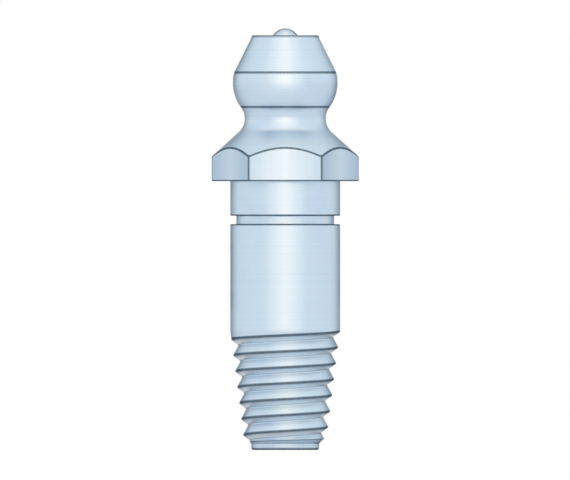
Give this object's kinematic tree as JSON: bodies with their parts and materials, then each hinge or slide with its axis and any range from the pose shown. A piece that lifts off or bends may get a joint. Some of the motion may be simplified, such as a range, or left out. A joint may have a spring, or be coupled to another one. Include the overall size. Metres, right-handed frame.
{
  "type": "grease nipple",
  "caption": "Straight hydraulic grease nipple: turned hexagon body with a coupler head, a spring-loaded check ball, a long plain shank and a short taper thread.",
  "frame": {"origin": "centre of the hexagon's underside, where the nipple seats when it is screwed in", "axes": "+Z along the nipple's axis towards the coupler head, the hexagon's corners on X and two of its flats facing Y"},
  "size_m": [0.0092, 0.008, 0.0265],
  "materials": {
    "zinc_plated_steel": "turned steel, zinc plated with a clear blue passivation",
    "hardened_steel": "ground and polished bearing steel",
    "spring_steel": "drawn spring wire"
  },
  "bodies": {
    "fitting": {"nipple_body": "zinc_plated_steel", "valve_spring": "spring_steel"},
    "ball": {"check_ball": "hardened_steel"}
  },
  "joints": [
    {"name": "ball_slide", "type": "slide", "parent": "fitting", "child": "ball", "axis": [0, 0, -1], "range_m": [0, 0.001], "stiffness_N_per_m": 500, "springref_m": -0.0004, "deforming": ["valve_spring"]}
  ]
}
